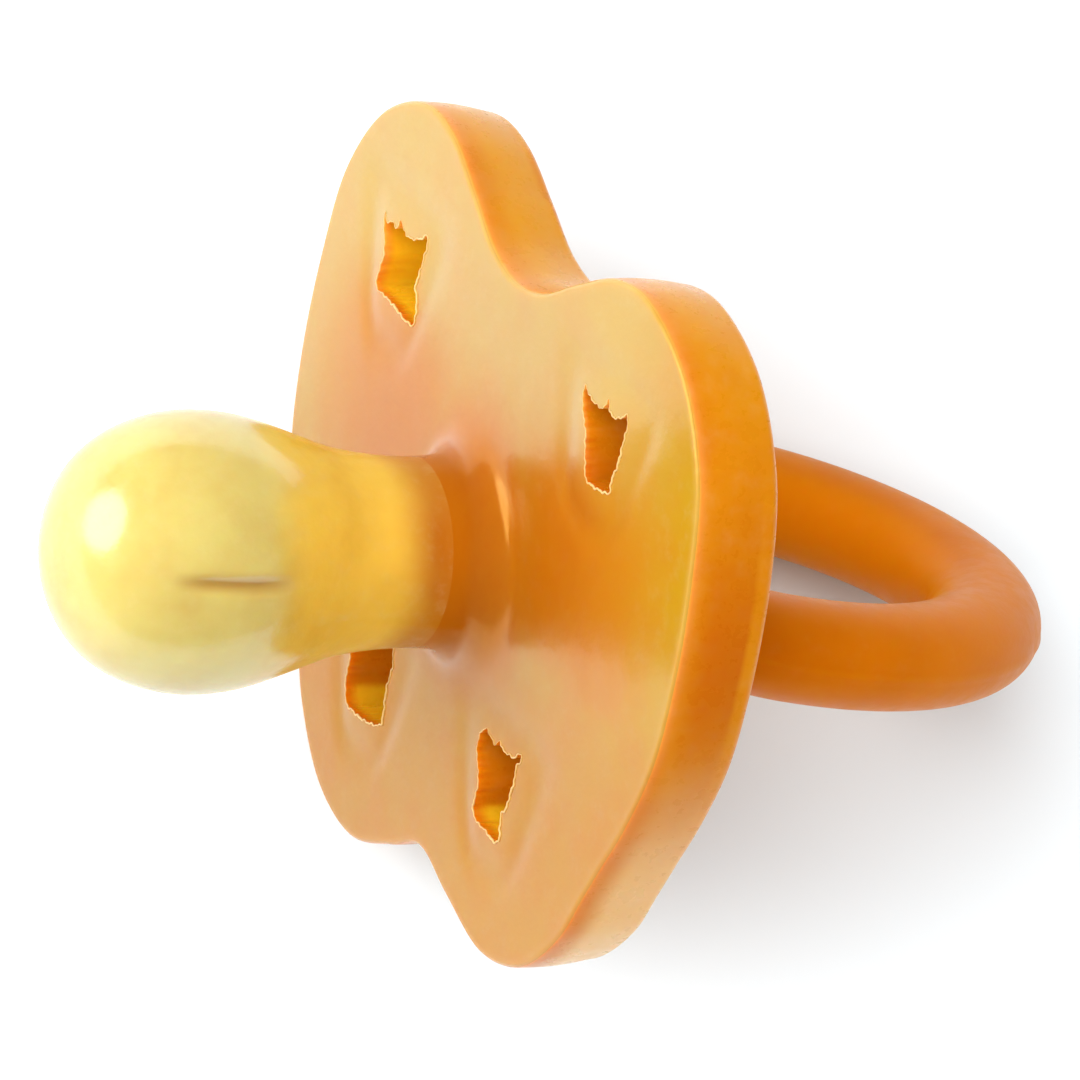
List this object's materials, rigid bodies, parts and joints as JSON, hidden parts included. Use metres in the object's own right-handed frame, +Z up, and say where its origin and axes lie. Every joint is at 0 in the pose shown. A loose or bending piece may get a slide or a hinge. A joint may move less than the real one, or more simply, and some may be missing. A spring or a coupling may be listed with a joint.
{
  "type": "pacifier",
  "caption": "Natural rubber soother with a butterfly shield, vent holes, a hollow round teat that bends and a flexible loop handle.",
  "frame": {"origin": "under the middle of the bounding box, on the surface that the soother lies on", "axes": "+Z up as it lies on the lower left rim of its shield and the side of its loop; the teat points to -X and the loop to +X, and the nose notch is towards +Y"},
  "size_m": [0.0606, 0.054, 0.0519],
  "materials": {
    "shield_rubber": "satin amber natural rubber, translucent",
    "teat_rubber": "glossy pale natural rubber, thin and translucent",
    "handle_rubber": "matt deep amber natural rubber"
  },
  "bodies": {
    "shield_body": {"shield": "shield_rubber", "core_plug": "shield_rubber", "handle_foot_left": "handle_rubber", "handle_foot_right": "handle_rubber"},
    "collar_body": {"neck_collar": "shield_rubber"},
    "teat_body": {"teat": "teat_rubber"},
    "handle_body": {"handle_ring": "handle_rubber"}
  },
  "joints": [
    {"name": "teat_bend_up_down", "type": "hinge", "parent": "shield_body", "child": "collar_body", "pos_m": [-0.00415, -0.00147, 0.0249], "axis": [0.3587, -0.5088, 0.7826], "range_deg": [-15, 15], "stiffness_Nm_per_rad": 0.1},
    {"name": "teat_bend_sideways", "type": "hinge", "parent": "collar_body", "child": "teat_body", "pos_m": [-0.00415, -0.00147, 0.0249], "axis": [0.212, 0.8609, 0.4625], "range_deg": [-15, 15], "stiffness_Nm_per_rad": 0.1},
    {"name": "handle_flex", "type": "hinge", "parent": "shield_body", "child": "handle_body", "pos_m": [0.00539, -0.00147, 0.02053], "axis": [0.3587, -0.5088, 0.7826], "range_deg": [-35, 35], "stiffness_Nm_per_rad": 0.1}
  ]
}
